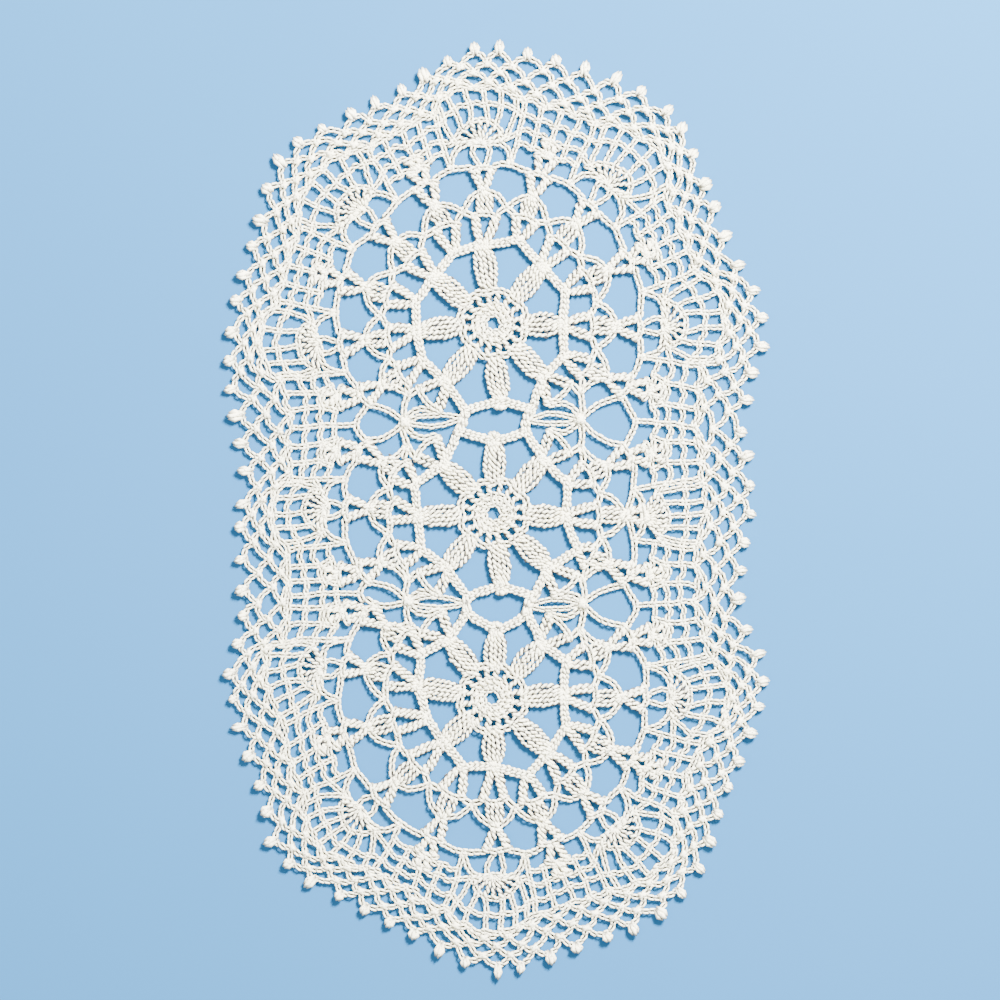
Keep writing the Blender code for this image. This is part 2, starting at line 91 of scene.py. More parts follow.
# Fans and columns
FAN_DEPTH = 45.0
LOOP_HEIGHT = 9.0
LOW_LOOP_HEIGHT = 6.4
WIDEST_RAY = 80.0
SPINE_SHARES = (0.28, 0.48, 0.69, 0.92)
NET_SHARE = 0.66
FAN_TURN = 0.08

# Net
NET_LOOPS = 84
NET_ROWS = (0.0, 0.22, 0.47, 0.73, 1.0)
SNAP = 1.6

# Middle of the chart's outline, which is the origin of the solid
MIDDLE_OF_CHART = 1.23 - 0.70j

WHEELS = {"top": -0.2 + 72.8j, "middle": 0.2 - 2.8j, "bottom": -0.6 - 76.8j}

# for each wheel: petal's angle, petal's reach, reach of the band's corner after it
PETALS = {
    "top": ((-1, 26.4, 31.5), (48, 28.5, 34.8), (97, 30.2, 32.6), (142, 28.7, 32.0),
            (185, 29.2, 31.8), (231, 28.5, 35.9), (275, 29.0, 37.0), (314, 27.2, 30.9)),
    "middle": ((-3, 27.0, 31.8), (47, 27.5, 34.9), (90, 27.4, 35.3), (136, 26.4, 33.1),
               (183, 28.3, 32.5), (229, 27.6, 35.1), (276, 27.2, 36.6), (315, 29.4, 36.4)),
    "bottom": ((3, 26.8, 32.9), (47, 27.7, 35.9), (86, 25.0, 35.3), (126, 27.4, 33.0),
               (171, 28.6, 26.9), (222, 24.6, 29.3), (272, 25.8, 33.3), (316, 29.6, 31.5)),
}


class Kind(Enum):
    """What grows outwards from a station: a fan, a fan close to the wheel, or a column of shells."""

    FAN = "fan"
    LOW_FAN = "low fan"
    COLUMN = "column"


FAN, LOW_FAN, COLUMN = Kind

# for each stretch along one wheel: angle, kind, reach of the outer shell's top, cloth's edge beyond it
STATIONS = (
    ("middle", ((-1.0, LOW_FAN, 52.8, 100.4 - 3.2j), (23.0, COLUMN, 58.4, 98.0 + 22.4j))),
    ("top", ((-25.5, COLUMN, 59.2, 97.2 + 40.4j), (-1.2, FAN, 58.8, 104.4 + 76.0j),
             (25.2, COLUMN, 59.6, 87.4 + 114.4j), (50.0, FAN, 60.8, 68.2 + 156.8j),
             (72.5, COLUMN, 62.0, 31.7 + 173.8j), (94.0, FAN, 62.6, -7.9 + 181.4j),
             (116.0, COLUMN, 62.0, -42.5 + 161.2j), (140.4, FAN, 60.4, -81.2 + 140.8j),
             (164.0, COLUMN, 62.0, -95.4 + 100.4j), (187.4, FAN, 60.8, -103.8 + 60.4j),
             (209.3, COLUMN, 60.0, -101.0 + 41.0j))),
    ("middle", ((155.0, COLUMN, 58.4, -98.4 + 20.4j), (178.0, FAN, 58.8, -99.2 - 3.6j),
                (204.0, COLUMN, 58.4, -98.4 - 27.6j))),
    ("bottom", ((145.8, COLUMN, 60.8, -99.2 - 44.8j), (167.0, FAN, 60.8, -103.2 - 73.6j),
                (193.6, COLUMN, 60.2, -92.6 - 108.6j), (221.0, FAN, 60.8, -78.8 - 142.4j),
                (246.5, COLUMN, 60.8, -37.2 - 166.2j), (271.5, FAN, 60.6, -1.4 - 183.4j),
                (292.3, COLUMN, 62.0, 36.0 - 173.4j), (314.0, FAN, 62.0, 74.0 - 153.6j),
                (336.6, COLUMN, 61.2, 90.2 - 115.0j), (360.4, FAN, 60.8, 106.4 - 73.6j),
                (384.0, COLUMN, 60.0, 98.4 - 46.4j))),
    ("middle", ((335.4, COLUMN, 59.0, 97.2 - 27.6j),)),
)

# for each upper wheel and side: knot, and tie between the two bands
KNOTS = {
    ("top", 1): (34.6 + 34.4j, 13.0 + 34.8j), ("top", -1): (-35.4 + 33.2j, -11.4 + 35.6j),
    ("middle", 1): (35.4 - 39.6j, 13.4 - 40.0j), ("middle", -1): (-34.6 - 38.0j, -11.0 - 39.2j),
}


class Stitch(Enum):
    """Stitches of the lace: a chain's loop, a post's wrap, the band's short stitch, a joint, a picot."""

    CHAIN = "chain_stitch"
    POST = "post_wrap"
    BAND = "band_stitch"
    JOINT = "joint_stitch"
    PICOT = "picot_knob"


@dataclass(frozen=True)
class Leg:
    """One run of yarn in a stitch: its points, its radii there in millimetres, and its painted lightness
    there, from 0 for painted shade to 1 for full colour.
    """

    points: Table
    radii: Numbers
    # painted shade: the ends of a leg, where it dives under the stitches beside it, are painted darker
    painted_lightness: Numbers = (0.12, 0.95, 1.0, 0.25)

    def mirrored(self) -> "Leg":
        """The same run on the other side of the strand."""
        return Leg(tuple((x, -y, z) for x, y, z in self.points), self.radii, self.painted_lightness)


@dataclass(frozen=True)
class StitchShape:
    """Shape of one stitch that runs along +X, with its pitch and half width in millimetres."""

    pitch: float
    half: float
    legs: tuple[Leg, ...]
    sway: float = 0.26
    sides: int = 5

    def build(self, name: str) -> Object:
        """Make the stitch as a mesh that is one pitch long and one half width high and wide.

        Args:
            name: name of the object.

        Returns:
            The stitch, hidden, to be repeated along the strands.
        """
        work = bmesh.new()
        layers = [work.loops.layers.uv.new(name) for name in ("yarn", "shade")]
        for leg in self.legs:
            self._sweep(work, layers, leg)
        bmesh.ops.recalc_face_normals(work, faces=work.faces)
        bmesh.ops.scale(work, vec=(1 / self.pitch, 1 / self.half, 1 / self.half), verts=work.verts)
        mesh = bpy.data.meshes.new(name)
        work.to_mesh(mesh)
        work.free()
        stitch = linked(name, mesh)
        stitch.hide_render = True
        return stitch

    def _sweep(self, work: bmesh.types.BMesh, layers: list[bmesh.types.BMLayerItem], leg: Leg) -> None:
        """Sweep a round section along a leg and close both of its ends.

        Args:
            work: the mesh that is being made.
            layers: its UV layers for the way along and round the yarn, and for its painted lightness, which
                paints shade into the colour.
            leg: the run of yarn.
        """
        places = [Vector(point) for point in leg.points]
        turns = [math.tau * (step + 0.5) / self.sides for step in range(self.sides)]
        rings = []
        for number, (place, radius) in enumerate(zip(places, leg.radii)):
            along = places[min(number + 1, len(places) - 1)] - places[max(number - 1, 0)]
            side = along.cross(Vector((0, 0, 1))).normalized()
            upward = side.cross(along).normalized()
            rings.append([work.verts.new(place + (side * math.cos(turn) + upward * math.sin(turn)) * radius)
                          for turn in turns])
        for number, (first, second) in enumerate(zip(rings, rings[1:])):
            for step in range(self.sides):
                after = (step + 1) % self.sides
                face = work.faces.new((first[step], first[after], second[after], second[step]))
                corners = ((number, step), (number, step + 1), (number + 1, step + 1), (number + 1, step))
                for loop, (u, v) in zip(face.loops, corners):
                    loop[layers[0]].uv = (u, v / self.sides)
                    # painted shade: each ring carries the leg's painted lightness into the shade UV layer
                    loop[layers[1]].uv = (leg.painted_lightness[u], 0.5)
                face.smooth = True
        for ring in (rings[0], rings[-1]):
            work.faces.new(ring).smooth = True


# Painted shade in the legs' lightness: darker ends where legs dive under their neighbours, and back and
# under legs painted wholly or almost wholly in shade, so the holes and slits between legs look dark.
CHAIN_LEG = Leg(((-0.55, 0.10, 0.20), (0.50, 0.80, 0.42), (1.75, 0.80, 0.22), (2.80, 0.15, -0.25)),
                (0.32, 0.50, 0.53, 0.32))
CHAIN_BACK = Leg(((-0.7, 0.0, -0.55), (3.0, 0.0, -0.55)), (0.44, 0.44), (0.0, 0.0))
POST_LEG = Leg(((-0.4, -0.42, -0.05), (0.5, -0.40, 0.42), (1.6, 0.40, 0.42), (2.5, 0.42, -0.05)),
               (0.32, 0.54, 0.54, 0.32), (0.1, 1.0, 1.0, 0.1))
POST_UNDER = Leg(((-0.5, 0.40, -0.2), (0.5, 0.36, -0.30), (1.6, -0.36, -0.30), (2.6, -0.40, -0.2)),
                 (0.40, 0.50, 0.50, 0.40), (0.0, 0.0, 0.0, 0.0))
BAND_LEG = Leg(((-0.2, -1.35, -0.1), (0.8, -1.40, 0.30), (1.6, -0.95, 0.45), (2.4, -0.65, 0.1)),
               (0.42, 0.62, 0.60, 0.34), (0.4, 1.0, 1.0, 0.0))
BAND_MIDDLE = Leg(((-0.3, -0.40, 0.2), (0.5, -0.25, 0.62), (1.4, 0.25, 0.62), (2.2, 0.40, 0.2)),
                  (0.34, 0.56, 0.56, 0.34), (0.0, 1.0, 1.0, 0.0))
BAND_BACK = Leg(((-0.6, 0.0, -0.3), (2.9, 0.0, -0.3)), (1.1, 1.1), (0.1, 0.1))
JOINT_LEG = Leg(((-0.1, 0.85, -0.35), (0.25, 0.42, 0.55), (0.75, -0.42, 0.55), (1.1, -0.85, -0.35)),
                (0.34, 0.50, 0.50, 0.34))
KNOB_LEG = Leg(((-0.3, 0.35, -0.2), (0.4, 0.75, 0.0), (1.3, 1.25, 0.1), (2.1, 0.6, 0.1)),
               (0.45, 0.62, 0.82, 0.62), (0.1, 0.9, 1.0, 0.3))
KNOB_TOP = Leg(((0.0, 0.1, 0.2), (0.9, -0.2, 0.55), (1.7, 0.2, 0.60), (2.3, 0.0, 0.1)),
               (0.45, 0.66, 0.80, 0.62), (0.0, 1.0, 1.0, 0.3))

SHAPES = {
    Stitch.CHAIN: StitchShape(2.35, 1.3, (CHAIN_LEG, CHAIN_LEG.mirrored(), CHAIN_BACK)),
    Stitch.POST: StitchShape(2.1, 0.98, (POST_LEG, POST_UNDER), 0.42),
    Stitch.BAND: StitchShape(2.1, 1.95, (BAND_LEG, BAND_LEG.mirrored(), BAND_MIDDLE, BAND_BACK), 0.34),
    Stitch.JOINT: StitchShape(1.0, 1.0, (JOINT_LEG, JOINT_LEG.mirrored())),
    Stitch.PICOT: StitchShape(1.0, 1.0, (KNOB_LEG, KNOB_LEG.mirrored(), KNOB_TOP)),
}


@dataclass(frozen=True)
class Strand:
    """A run of one stitch through places of the cloth."""

    stitch: Stitch
    places: Places
    half: float | tuple[float, float] = CHAIN
    height: float = LOW

    def half_at(self, share: float) -> float:
        """Half width at a share of the way, which may grow from one end to the other."""
        return mix(*self.half, share) if isinstance(self.half, tuple) else self.half


Strands = list[Strand]


def linked(name: str, data: bpy.types.ID) -> Object:
    """Put data into the scene.

    Args:
        name: name of the new object.
        data: its mesh, curve, lamp or camera.

    Returns:
        The object, at the origin.
    """
    thing = bpy.data.objects.new(name, data)
    bpy.context.scene.collection.objects.link(thing)
    return thing


def polar(angle: float, reach: float) -> complex:
    """Place at an angle in degrees and a reach."""
    return cmath.rect(reach, math.radians(angle))


def unit(vector: complex) -> complex:
    """Direction of a vector."""
    return vector / abs(vector)


def mix(first: complex, second: complex, share: float) -> complex:
    """Place between two others, or number between two others."""
    return first + (second - first) * share


def spline_place(before: complex, first: complex, second: complex, after: complex, part: float) -> complex:
    """Place on the smooth curve between the two middle ones of four points, at a part of the way."""
    bend, twist = 2 * before - 5 * first + 4 * second - after, 3 * first - before - 3 * second + after
    return 0.5 * (2 * first + (second - before) * part + bend * part ** 2 + twist * part ** 3)


def closed_curve(points: Places, turn: float) -> complex:
    """Place on the smooth closed curve through the points, at one turn for each point."""
    start = math.floor(turn)
    return spline_place(*(points[(start + step) % len(points)] for step in (-1, 0, 1, 2)), turn - start)


def smoothed(points: Places, steps: int = 4) -> Places:
    """Round the way through the points, and close it where its first and last point are one.

    Args:
        points: places to pass through.
        steps: places for each stretch between two points.

    Returns:
        Places of the smooth curve.
    """
    closed = abs(points[0] - points[-1]) < 1e-6
    before, after = (points[-2], points[1]) if closed else (
        2 * points[0] - points[1], 2 * points[-1] - points[-2])
    padded = [before, *points, after]
    result = []
    for four in zip(padded, padded[1:], padded[2:], padded[3:]):
        result += [spline_place(*four, step / steps) for step in range(steps)]
    return result + [points[-1]]


def beside(points: Places, offsets: list[float]) -> Places:
    """The points, each moved to the left of the way by its offset."""
    ways = [after - before for before, after in zip([points[0], *points], [*points[1:], points[-1]])]
    return [point + unit(way) * 1j * offset for point, way, offset in zip(points, ways, offsets)]


def nearest(points: Places, place: complex) -> complex:
    """The point that lies nearest to a place."""
    return min(points, key=lambda point: abs(point - place))


def around(items: list) -> list[tuple]:
    """Each item with the one after it, and the last one with the first."""
    return list(zip(items, [*items[1:], items[0]]))


def scalloped(points: Places, swell: float = 0.18) -> Places:
    """The points, with a bow between each two of them that bulges to the right of the way."""
    bows = [mix(*ends, 0.5) - (ends[1] - ends[0]) * 1j * swell for ends in zip(points, points[1:])]
    return [points[0], *(place for pair in zip(bows, points[1:]) for place in pair)]


def arch(first: complex, tip: complex, second: complex) -> Places:
    """A full, round loop from one foot over its tip to the other."""
    rise = (tip - mix(first, second, 0.5)) * 0.74
    return [first, mix(first, second, 0.2) + rise, tip, mix(first, second, 0.8) + rise, second]


def uneven(place: complex, scale: float, layer: float) -> float:
    """Soft unevenness from -1 to 1 that changes over the scale, the same in every run."""
    return noise.noise(Vector((place.real / scale, place.imag / scale, layer)))


def chain(points: Places, half: float = CHAIN, height: float = LOW) -> Strand:
    """A chain through the points."""
    return Strand(Stitch.CHAIN, points, half, height)


def bow(start: complex, end: complex, swell: float, half: float = CHAIN, count: int = 2) -> Strand:
    """A chain with a bow of count points to the left of its way, swell of its length high."""
    points = [mix(start, end, share) + (end - start) * 4j * swell * share * (1 - share)
              for share in (step / (count + 1) for step in range(1, count + 1))]
    return chain([start, *points, end], half)


def post(points: Places, half: float | tuple[float, float] = POST, height: float = LOW) -> Strand:
    """A post, straight or bent, through the points."""
    return Strand(Stitch.POST, points, half, height)


def shell(foot: complex, top: complex, spread: float, height: float = LOW) -> Strands:
    """Two pairs of posts from one foot, with a small hole between them and a chain on top.

    Args:
        foot: place that all four posts are worked in.
        top: middle of the shell's top.
        spread: half width of the shell's top.
        height: height of its middle line over the floor.

    Returns:
        The shell's strands.
    """
    way = unit(top - foot)
    strands = []
    for side in (-1, 1):
        for asides, lower in (((0.10, 0.34, 0.62, 0.72), 0.0), ((0.26, 0.74, 1.0, 1.0), 0.1)):
            line = [mix(foot, top, share) + way * 1j * side * aside * (spread - 1.2)
                    for share, aside in zip((0.0, 0.4, 0.75, 0.96), asides)]
            strands.append(post(line, (1.15, 1.3), height - lower))
    end = way * 1j * spread
    strands.append(chain([top - end - way * 1.4, top - end * 0.5, top + way * 0.4, top + end * 0.5,
                          top + end - way * 1.4], 1.3, height + 0.2))
    return strands


def cluster(foot: complex, top: complex, half: float) -> Strands:
    """Four posts that stand apart at the foot, half to a side, and are drawn together at the top."""
    line = [mix(foot, top, share) for share in (0.06, 0.35, 0.68, 1.0)]
    return [post(beside(line, [offset * half * share for share in (0.85, 1.05, 0.85, 0.15)]), 1.02,
                 HIGH + 0.1 - 0.4 * abs(offset)) for offset in (-1.0, -0.36, 0.36, 1.0)]


@dataclass
class Wheel:
    """A star wheel: hub, eight petals and the band round them."""

    name: str
    hub_rings: Table = ((3.2, 1.0), (5.2, 1.2), (7.4, 1.25))
    hub_posts: tuple[tuple, ...] = ((3.5, 7.9, (0.8, 1.5), 0.25), (8.0, 12.6, (1.3, 1.4), 0.0))
    hub_spokes: int = 16
    band_half: float = 1.9
    scallop: float = 12.8
    petal_shares: Numbers = (0.55, 0.70, 0.86, 1.0)
    petal_halves: Numbers = (2.5, 3.3, 3.8, 3.2, 1.4)
    petal_post_half: float = 1.04
    petal_posts: Table = (
        (-1.0, 1.3, 0.45), (-0.48, 1.6, 0.42), (0.0, 1.5, 0.465), (0.48, 1.6, 0.43), (1.0, 1.3, 0.46))

    def __post_init__(self) -> None:
        """Place the band's eight petal points and eight corners, in turn."""
        self.centre = WHEELS[self.name]
        self.band: list[tuple[float, complex]] = []
        for (angle, reach, corner), (after, _, _) in around(PETALS[self.name]):
            middle = angle + ((after - angle) % 360) / 2
            self.band += [(angle, self.centre + polar(angle, reach + PETAL_TO_BAND)),
                          (middle, self.centre + polar(middle, corner))]

    def band_place(self, angle: float) -> complex:
        """The band's place that lies nearest to an angle."""
        return min(self.band, key=lambda row: abs((row[0] - angle + 180) % 360 - 180))[1]

    def hub(self) -> Strands:
        """Work the ring of short posts round the eye, the ring of slits and the scalloped rim.

        Returns:
            The hub's strands.
        """
        strands = [chain([self.centre + polar(22.5 * step, reach) for step in range(17)], half, MIDDLE)
                   for reach, half in self.hub_rings]
        for step in range(self.hub_spokes):
            angle = (step + 0.5) * 360 / self.hub_spokes
            for *reaches, half, rise in self.hub_posts:
                places = [self.centre + polar(angle, reach) for reach in reaches]
                strands.append(post(places, half, MIDDLE + rise))
        rim = [self.centre + polar(angle + turn, self.scallop + rise) for angle, _ in self.band[::2]
               for turn, rise in ((0, -0.5), (14, 0.5), (31, 0.5))]
        strands.append(chain(rim + rim[:1], 1.45, MIDDLE + 0.1))
        return strands

    def petals(self) -> Strands:
        """Five long posts in each petal, a hair apart and drawn together at its tip."""
        return [post(beside([mix(self.centre, tip, share) for share in (start, *self.petal_shares)],
                            [offset * width for width in self.petal_halves]), self.petal_post_half, height)
                for _, tip in self.band[::2] for offset, height, start in self.petal_posts]

    def rim(self) -> Strands:
        """The band of short stitches, straight from corner to corner."""
        places = [mix(one[1], two[1], share) for one, two in around(self.band) for share in (0.0, 0.3, 0.7)]
        return [Strand(Stitch.BAND, places + places[:1], self.band_half, MIDDLE)]

    def bump(self, angle: float) -> Strand:
        """A picot on the band at an angle, where the next wheel lies close."""
        place, outward = self.band_place(angle), unit(self.band_place(angle) - self.centre)
        return Strand(Stitch.PICOT, [place + outward * 1.4, place + outward * 2.4], 1.35, MIDDLE)

    def strands(self) -> Strands:
        """All strands of the wheel."""
        bumps = {"top": (270,), "middle": (90, 270), "bottom": (90,)}[self.name]
        return self.hub() + self.petals() + self.rim() + [self.bump(angle) for angle in bumps]


@dataclass
class Station:
    """A place round the wheels from which a fan or a column of shells grows outwards."""

    wheel: Wheel
    angle: float
    kind: Kind
    reach: float
    edge: complex
    joint: complex = 0j
    turn: float = 0.0
    last_turn: float = 0.0
    spine: Places = field(default_factory=list)
    inner_spread: float = 5.6
    outer_spread: float = 5.1
    cluster_half: float = 2.8
    corner_aside: float = 5.0
    top_aside: float = 4.2

    def __post_init__(self) -> None:
        """Place the shells' and the cluster's tops."""
        centre = self.wheel.centre
        low = self.kind is LOW_FAN
        cluster_reach = self.reach - (0.0 if low else OUTER_SHELL)
        self.foot = self.wheel.band_place(self.angle)
        self.above = max(self.reach - EVEN_REACH, 0.0)
        self.shell_reach = min(mix(abs(self.foot - centre), cluster_reach, SHELL_SHARE),
                               SHELL_REACH + self.above)
        self.shell, self.cluster, self.top = (
            centre + polar(self.angle, reach) for reach in (self.shell_reach, cluster_reach, self.reach))
        apart = 0.0 if low else self.top_aside
        self.left, self.right = (self.top + polar(self.angle, 1) * (0.3 + side * apart * 1j)
                                 for side in (1, -1))
        self.heading = unit(self.edge - self.top)

    def stack(self) -> Strands:
        """The inner shell, the cluster and the outer shell, one over the other."""
        outer = [] if self.kind is LOW_FAN else shell(self.cluster, self.top, self.outer_spread, MIDDLE)
        return [*shell(self.foot, self.shell, self.inner_spread, MIDDLE),
                *cluster(self.shell, self.cluster, self.cluster_half), *outer]

    def arches(self, cross: complex, swell: float) -> Strands:
        """A chain from the inner shell's corner to a crossing, and one bowed by swell up to the cluster."""
        corners = [self.shell + polar(self.angle, self.corner_aside) * 1j * sign for sign in (-1, 1)]
        return [chain([nearest(corners, cross), cross]), bow(cross, self.cluster, swell)]


@dataclass
class Fan:
    """Fan of nine rays over a loop, with two rows of spaces beyond its rays."""

    station: Station
    before: Station
    number: int
    ray_gaps: int = 8
    space: float = 6.8
    low_spread: float = 4.0
    low_swell: float = 0.16
    swell: float = 0.3
    # for each row: distance from the foot, part of the way to the spines, how far its ends follow them
    rows: Table = ((9.6, 1.08, 0.0), (16.2, 0.84, 0.8), (23.2, 0.82, 1.0))
    loop: Table = ((0.0, 0.6), (0.35, 2.0), (0.75, 3.2), (1.0, 1.6))

    def __post_init__(self) -> None:
        """Place the fan's foot, and part its rows into spaces."""
        here = self.station
        self.spaces = max(4, round(abs(here.spine[2] - self.before.spine[2]) / self.space))
        self.low = here.kind is LOW_FAN
        self.size = abs(here.edge - here.top) / FAN_DEPTH
        self.base = here.top + here.heading * (LOW_LOOP_HEIGHT if self.low else LOOP_HEIGHT * self.size)

    def row(self, level: int, count: int) -> list[tuple]:
        """Place one of the fan's rows, from its right side to its left.

        Args:
            level: number of the row, and of the spines' place that it leads to.
            count: number of spaces in the row.

        Returns:
            A share from -1 to 1 and a place, for each joint of the row.
        """
        here = self.station
        reach, fill, bend = self.rows[level - 1]
        ends = [(spine[level] - self.base) / here.heading for spine in (self.before.spine, here.spine)]
        result = []
        for step in range(count + 1):
            share = fill * (2 * step / count - 1)
            end = ends[0] if share < 0 else ends[1]
            far = mix(reach * self.size, abs(end), bend * share ** 2)
            turned = min(abs(cmath.phase(end) * share), math.radians(WIDEST_RAY))
            result.append((share, self.base + here.heading * cmath.rect(far, math.copysign(turned, share))))
        return result

    def loops(self) -> Strands:
        """Work the loop that the rays stand in, and the wide loops on its sides.

        Returns:
            The loops' strands.
        """
        here, base = self.station, self.base
        strands = shell(here.top, base, self.low_spread) if self.low else [
            chain([mix(here.top, base, share) + here.heading * 1j * side * aside
                   for share, aside in self.loop], THIN) for side in (-1, 1)]
        swell = self.low_swell if self.low else self.swell
        return strands + [bow(joint, base, swell * side, count=3)
                          for joint, side in ((self.before.joint, -1), (here.joint, 1))]

    def work(self) -> tuple[Strands, list[tuple]]:
        """Work the fan.

        Returns:
            Its strands, and the turns and places of its outer row.
        """
        tips, small, large = (self.row(level, count) for level, count in
                              ((1, self.ray_gaps), (2, self.spaces), (3, self.spaces)))
        strands = self.loops()
        strands += [post([mix(self.base, tip, 0.1), tip], (0.75, 1.2), MIDDLE) for _, tip in tips]
        for level, row, swell in ((1, tips, 0.0), (2, small, 0.2)):
            places = [self.before.spine[level], *(place for _, place in row), self.station.spine[level]]
            strands.append(chain(scalloped(places, swell), THIN))
        for below, over, squeeze in ((tips, small, 0.85), (small, large, 1.0)):
            for share, place in over:
                foot = min(below, key=lambda joint: abs(joint[0] * squeeze - share))[1]
                strands.append(chain([foot, place], THIN))
        spans = (self.number - self.station.last_turn, self.station.turn - self.number)
        return strands, [(self.number + share * spans[share > 0], place) for share, place in large]


@dataclass
class Column:
    """Column of stacked shells between two fans, with rows of chain on both sides."""

    station: Station
    before: Station
    narrow: float = 26.0
    low_spread: float = 4.6
    high_spread: float = 3.6

    def work(self) -> tuple[Strands, list[tuple]]:
        """Work the column.

        Returns:
            Its strands, and the turns and places of its outer row.
        """
        here, heading = self.station, self.station.heading
        end = mix(here.top, here.edge, NET_SHARE)
        axis = [mix(here.top, end, share) for share in SPINE_SHARES]
        cells = 3 if abs(self.before.spine[2] - here.spine[2]) < self.narrow else 4
        rows = []
        for level, parts in enumerate((4, cells, cells, cells)):
            ends = (self.before.spine[level], axis[level], here.spine[level])
            row = []
            for step in range(parts + 1):
                half, share = divmod(min(2 * step / parts, 1.999), 1)
                first, second = ends[int(half):int(half) + 2]
                row.append(mix(first, second, share) + heading * 1.4 * share * (1 - share))
            rows.append(row)
        strands = shell(here.top, axis[0], self.low_spread) + shell(*axis[:2], self.high_spread)
        strands += [chain(scalloped(row), THIN) for row in rows[:3]]
        strands += [chain([rows[0][place], rows[1][above]], THIN)
                    for place, above in ((1, 1), (3, cells - 1))]
        for below, over in zip(rows[1:], rows[2:]):
            strands += [chain(list(pair), THIN) for pair in list(zip(below, over))[1:-1]]
        turns = [mix(here.last_turn, here.turn, step / cells) for step in range(1, cells)]
        return strands, list(zip(turns, rows[3][1:-1]))


@dataclass
class Junction:
    """Where two wheels meet at one side: a knot, a tie between the bands, and chains to both stations."""

    upper: Station
    lower: Station
    spread: float = 7.0
    corner_aside: float = 6.2

    def __post_init__(self) -> None:
        """Look up the knot and the tie."""
        self.side = 1 if self.upper.shell.real > 0 else -1
        self.knot, self.tie = KNOTS[self.upper.wheel.name, self.side]

    def half(self, station: Station, sign: int) -> Strands:
        """Work one wheel's side of the junction.

        Args:
            station: station beside the junction, on that wheel.
            sign: 1 where the wheel lies below the knot, and -1 above it.

        Returns:
            The side's strands.
        """
        wheel, knot, tie = station.wheel, self.knot, self.tie
        angle = sign * HALF_SHELL_ANGLE if self.side > 0 else 180 - sign * HALF_SHELL_ANGLE
        foot = wheel.band_place(angle)
        top = foot + unit((knot - foot) / 2 + polar(angle, 3)) * HALF_SHELL
        turn = (angle - station.angle + 180) % 360 - 180
        cross = wheel.centre + polar(station.angle + CROSS_LEAN * turn, END_CROSS_REACH)
        turned = self.side * sign
        aside = unit(top - foot) * self.corner_aside * 1j
        upper, lower = sorted((top + aside, top - aside), key=lambda place: abs(place - cross))
        corner = nearest([place for _, place in wheel.band], tie)
        last = nearest([station.left, station.right], knot)
        return [Strand(Stitch.BAND, [corner, tie], 2.1, MIDDLE), *shell(foot, top, self.spread, MIDDLE),
                *station.arches(cross, -0.1 * turned), bow(cross, knot, -0.08 * turned),
                chain([upper, cross], 1.5), bow(lower, knot, -0.22 * turned),
                bow(knot, last, -0.1 * turned), bow(tie, knot, -0.09 * turned, 1.1)]

    def strands(self) -> Strands:
        """Both sides of the junction, and the knot over them."""
        knot = Strand(Stitch.JOINT, [self.knot - 1.3j, self.knot + 1.3j], 1.7, MIDDLE)
        return [*self.half(self.upper, -1), *self.half(self.lower, 1), knot]


@dataclass
class Net:
    """Four rounds of net loops round the whole cloth, the last of which carries picots."""

    stations: list[Station]
    row: list[tuple]

    def __post_init__(self) -> None:
        """Sort the row that the net begins from, and part the cloth's edge into even half loops."""
        whole, count = len(self.stations), 2 * NET_LOOPS
        self.row = sorted(((turn % whole, place) for turn, place in self.row), key=lambda joint: joint[0])
        self.edge = [station.edge for station in self.stations]
        turns = np.linspace(0.0, whole, 40 * whole + 1)
        steps = np.abs(np.diff([closed_curve(self.edge, turn) for turn in turns]))
        run = np.concatenate(([0.0], np.cumsum(steps)))
        self.turns = np.interp(run[-1] * np.arange(count) / count, run, turns).tolist()

    def on_row(self, turn: float) -> complex:
        """Place at a turn on the row that the net begins from."""
        turns, places = zip(*self.row)
        return complex(np.interp(turn, turns, places, period=len(self.stations)))

    def place(self, step: int, share: float) -> complex:
        """Place of the net at a half loop's number and a share of the way to the edge."""
        turn = self.turns[step % len(self.turns)]
        return mix(self.on_row(turn), closed_curve(self.edge, turn), share)

    def work(self) -> tuple[Strand, Strands]:
        """Work the net.

        Returns:
            The chain that it begins from, and all its other strands.
        """
        places = [place for _, place in self.row]
        feet = []
        for step in range(0, len(self.turns), 2):
            foot = self.place(step, 0.0)
            close = nearest(places, foot)
            feet.append(close if abs(close - foot) < SNAP else foot)
        extra = [(self.turns[2 * number] % len(self.stations), foot) for number, foot in enumerate(feet)
                 if foot not in places]
        whole = [place for _, place in sorted(self.row + extra, key=lambda joint: joint[0])]
        start = chain(scalloped(whole + whole[:1]), THIN)
        chains, knobs = [], []
        last = feet
        for level, share in enumerate(NET_ROWS[1:], start=1):
            odd = level % 2
            tips = [self.place(2 * number + odd, share) for number in range(NET_LOOPS)]
            for number, tip in enumerate(tips):
                first, second = last[number - 1 + odd], last[(number + odd) % NET_LOOPS]
                chains.append(chain(arch(first, tip, second), NET))
                if share < 1.0:
                    way = unit(second - first)
                    knobs.append(Strand(Stitch.JOINT, [tip - way * 1.1, tip + way * 1.1], 1.3, LOW + 0.1))
            last = tips
        for number, tip in enumerate(last):
            outward = unit(tip - self.place(2 * number, 0.0))
            places = [tip - outward * 0.3, tip + outward * 1.65]
            knobs.append(Strand(Stitch.PICOT, places, 1.14 + 0.4 * uneven(tip, 3.1, 0.5), MIDDLE + 0.2))
        return start, chains + knobs


